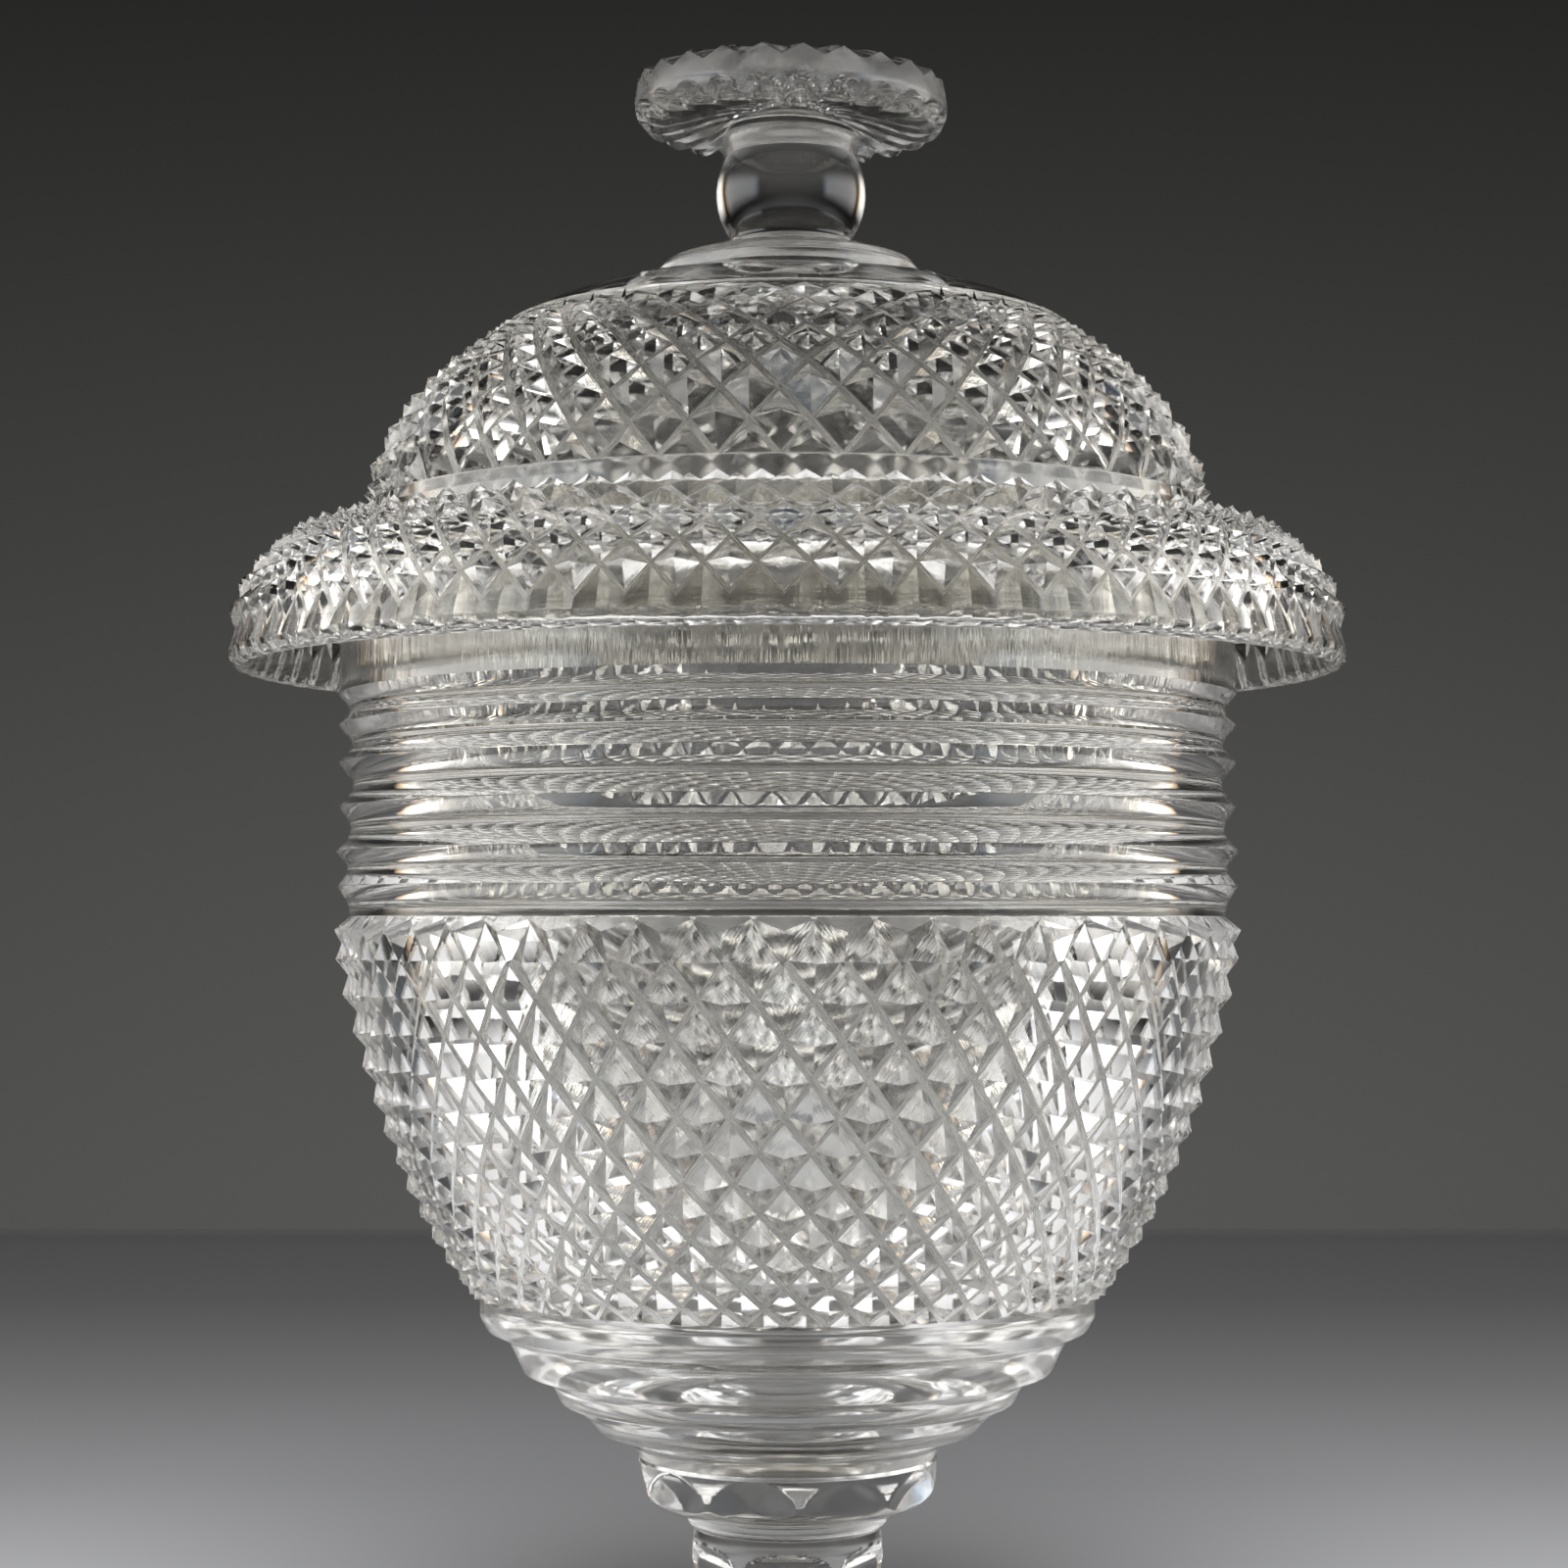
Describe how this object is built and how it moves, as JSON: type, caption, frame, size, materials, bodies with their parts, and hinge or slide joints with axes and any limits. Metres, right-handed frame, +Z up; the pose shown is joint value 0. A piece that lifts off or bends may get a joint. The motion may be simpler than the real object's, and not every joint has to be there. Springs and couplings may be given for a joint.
{
  "type": "covered urn",
  "caption": "Footed cut glass urn: a diamond-cut bowl with a ringed neck and a broad turned-over rim, and a loose domed cover that lifts off by its mushroom finial.",
  "frame": {"origin": "centre of the foot's flat underside, on the urn's axis", "axes": "+Z up along the urn's axis; -Y is the front that the picture shows; +X is the viewer's right"},
  "size_m": [0.1864, 0.1864, 0.314],
  "materials": {
    "cut_glass": "clear lead glass cut with diamonds, rings and flutes, polished with fine streaks left in the grooves",
    "polished_glass": "clear lead glass, smooth and bright"
  },
  "bodies": {
    "vessel": {"bowl": "cut_glass", "turnover_rim": "cut_glass", "bowl_collar": "polished_glass", "stem": "polished_glass", "foot": "cut_glass"},
    "cover": {"cover_dome": "cut_glass", "finial_pad": "polished_glass", "finial_knop": "polished_glass", "finial_mushroom": "cut_glass"}
  },
  "joints": [
    {"name": "cover_lift", "type": "slide", "parent": "vessel", "child": "cover", "axis": [0, 0, 1], "range_m": [0, 0.1]}
  ]
}
